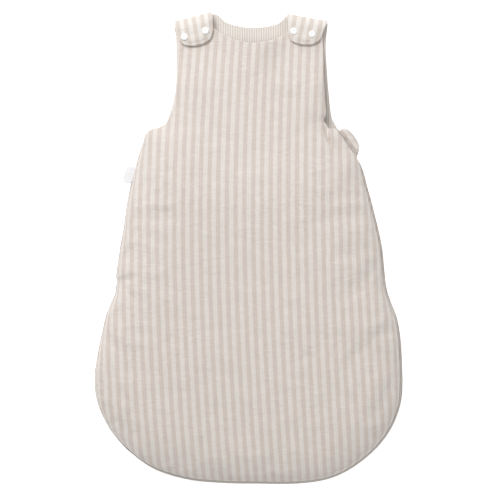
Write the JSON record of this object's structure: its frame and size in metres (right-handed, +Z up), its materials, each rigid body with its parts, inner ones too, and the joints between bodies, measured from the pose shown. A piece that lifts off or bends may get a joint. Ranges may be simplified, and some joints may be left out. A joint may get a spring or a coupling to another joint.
{
  "type": "baby sleeping bag",
  "caption": "Sleeveless padded baby sleeping bag lying flat, with a side zip that lets the front fold open and shoulder straps that snap shut.",
  "frame": {"origin": "on the flat underside of the back panel, at the middle of the bag's plan; the table is z = 0", "axes": "+Z up from the table through the front panel, +Y towards the head end, +X towards the zipped side seam (the right of the picture)"},
  "size_m": [0.456, 0.6989, 0.054],
  "materials": {
    "striped_gauze": "matte",
    "rib_lining": "matte",
    "wadding": "matte",
    "zip_tape": "matte",
    "zip_teeth": "satin",
    "zip_metal": "satin",
    "snap_plastic": "gloss",
    "label_tape": "satin"
  },
  "bodies": {
    "bag": {"back_shell": "striped_gauze", "front_shell": "striped_gauze", "zip_garage": "striped_gauze", "back_lining": "rib_lining", "front_lining": "rib_lining", "back_wadding": "wadding", "front_wadding": "wadding", "left_outer_snap_stud": "snap_plastic", "left_outer_snap_stud_back": "snap_plastic", "left_inner_snap_stud": "snap_plastic", "left_inner_snap_stud_back": "snap_plastic", "right_outer_snap_stud": "snap_plastic", "right_outer_snap_stud_back": "snap_plastic", "right_inner_snap_stud": "snap_plastic", "right_inner_snap_stud_back": "snap_plastic", "zip_tape_back": "zip_tape", "zip_tape_front_top": "zip_tape", "zip_teeth_back": "zip_teeth", "zip_teeth_front_top": "zip_teeth", "zip_top_stop_back": "zip_metal", "zip_top_stop_front": "zip_metal", "zip_bottom_stop": "zip_metal", "side_label": "label_tape"},
    "front_flap": {"flap_shell": "striped_gauze", "flap_wadding": "wadding", "flap_lining": "rib_lining", "zip_tape_front": "zip_tape", "zip_teeth_front": "zip_teeth"},
    "left_strap": {"left_strap_shell": "striped_gauze", "left_strap_wadding": "wadding", "left_strap_lining": "rib_lining", "left_outer_snap_cap": "snap_plastic", "left_outer_snap_socket": "snap_plastic", "left_inner_snap_cap": "snap_plastic", "left_inner_snap_socket": "snap_plastic"},
    "right_strap": {"right_strap_shell": "striped_gauze", "right_strap_wadding": "wadding", "right_strap_lining": "rib_lining", "right_outer_snap_cap": "snap_plastic", "right_outer_snap_socket": "snap_plastic", "right_inner_snap_cap": "snap_plastic", "right_inner_snap_socket": "snap_plastic"},
    "zip_slider": {"zip_slider": "zip_metal"},
    "zip_pull": {"zip_pull": "zip_metal"}
  },
  "joints": [
    {"name": "left_strap_fold", "type": "hinge", "parent": "bag", "child": "left_strap", "pos_m": [-0.083, 0.3412, 0.0075], "axis": [-0.9685, -0.249, 0], "range_deg": [0, 150]},
    {"name": "right_strap_fold", "type": "hinge", "parent": "bag", "child": "right_strap", "pos_m": [0.0875, 0.3401, 0.0075], "axis": [-0.9836, 0.1806, 0], "range_deg": [0, 150]},
    {"name": "front_flap_fold", "type": "hinge", "parent": "bag", "child": "front_flap", "pos_m": [-0.0055, -0.1015, 0.062], "axis": [-0.6782, -0.7349, 0], "range_deg": [0, 150]},
    {"name": "zip_slide", "type": "slide", "parent": "bag", "child": "zip_slider", "axis": [0.2368, -0.9716, 0], "range_m": [0, 0.14]},
    {"name": "zip_pull_swing", "type": "hinge", "parent": "zip_slider", "child": "zip_pull", "pos_m": [0.15938, 0.13474, 0.016], "axis": [0, 0, 1], "range_deg": [0, 90]}
  ]
}
